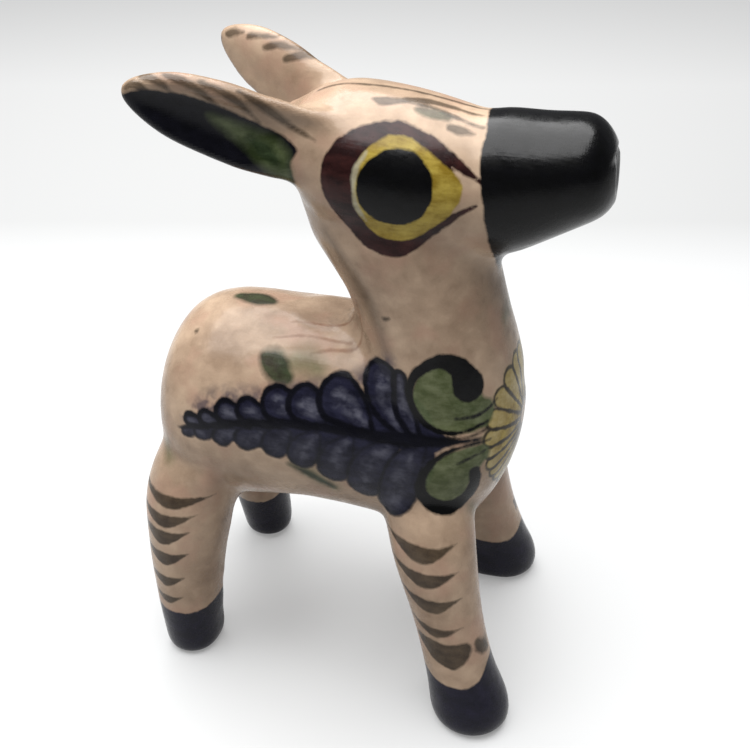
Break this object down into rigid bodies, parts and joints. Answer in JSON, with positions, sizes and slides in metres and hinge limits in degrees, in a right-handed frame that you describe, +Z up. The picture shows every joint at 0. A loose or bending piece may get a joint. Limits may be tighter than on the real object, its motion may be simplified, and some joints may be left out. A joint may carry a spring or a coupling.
{
  "type": "glazed pottery animal figurine",
  "caption": "Standing long-eared fawn of hand-painted glazed pottery, with a hollow trunk, neck and head, solid splayed legs and flat soles.",
  "frame": {"origin": "on the surface that the soles stand on, under the middle of the figure's box", "axes": "+X towards the muzzle, +Y to the animal's left, +Z up"},
  "size_m": [0.1116, 0.0768, 0.1558],
  "materials": {
    "clay_glaze": "tan to pinkish-beige burnished slip under a clear glaze, with brush-painted leaf, scroll, flower, eye and stripe decoration",
    "black_glaze": "glossy black glaze",
    "cobalt_glaze": "glossy near-black cobalt glaze"
  },
  "bodies": {
    "root": {"trunk_right_half": "clay_glaze", "trunk_left_half": "clay_glaze", "neck": "clay_glaze", "head": "clay_glaze", "right_ear": "clay_glaze", "left_ear": "clay_glaze", "tail": "clay_glaze", "front_right_leg": "clay_glaze", "front_left_leg": "clay_glaze", "rear_right_leg": "clay_glaze", "rear_left_leg": "clay_glaze", "muzzle": "black_glaze", "front_right_hoof": "cobalt_glaze", "front_left_hoof": "cobalt_glaze", "rear_right_hoof": "cobalt_glaze", "rear_left_hoof": "cobalt_glaze"}
  },
  "joints": []
}
